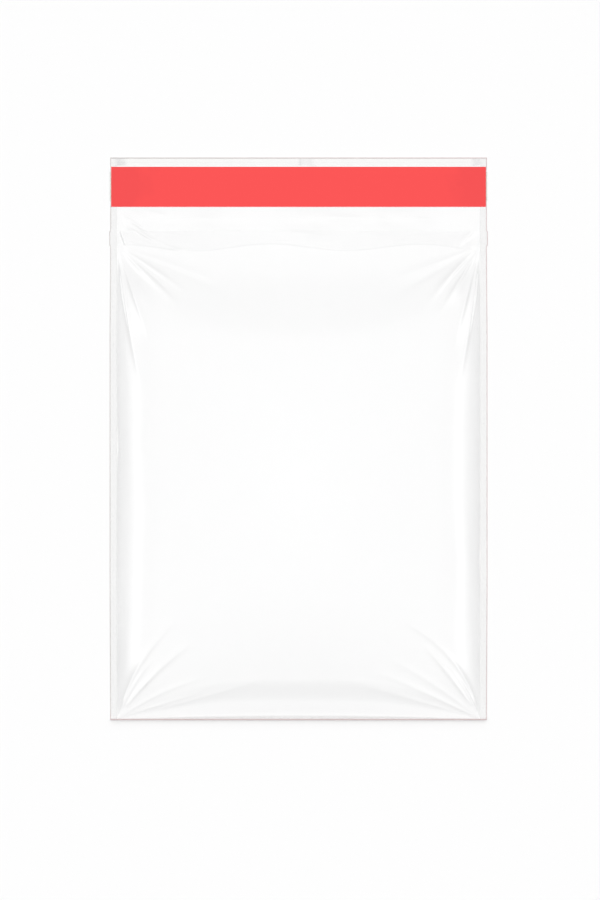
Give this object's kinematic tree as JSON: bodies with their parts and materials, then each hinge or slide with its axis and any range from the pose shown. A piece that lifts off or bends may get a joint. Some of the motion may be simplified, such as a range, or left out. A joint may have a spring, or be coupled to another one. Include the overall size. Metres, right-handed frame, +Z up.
{
  "type": "clear film mailing bag",
  "caption": "Clear film bag with welded sides, a folded bottom, an open hemmed mouth and an adhesive lip under a red liner; puffed with air and lying on its back.",
  "frame": {"origin": "on the floor, under the middle of the bag's outline", "axes": "+X across the bag, +Y from the bottom fold to the lip, +Z up out of the front panel"},
  "size_m": [0.2366, 0.35, 0.0261],
  "materials": {
    "clear_film": "clear glossy film",
    "adhesive": "clear tacky coating",
    "red_liner": "satin"
  },
  "bodies": {
    "root": {"film_bag": "clear_film", "adhesive_strip": "adhesive", "release_liner": "red_liner"}
  },
  "joints": []
}
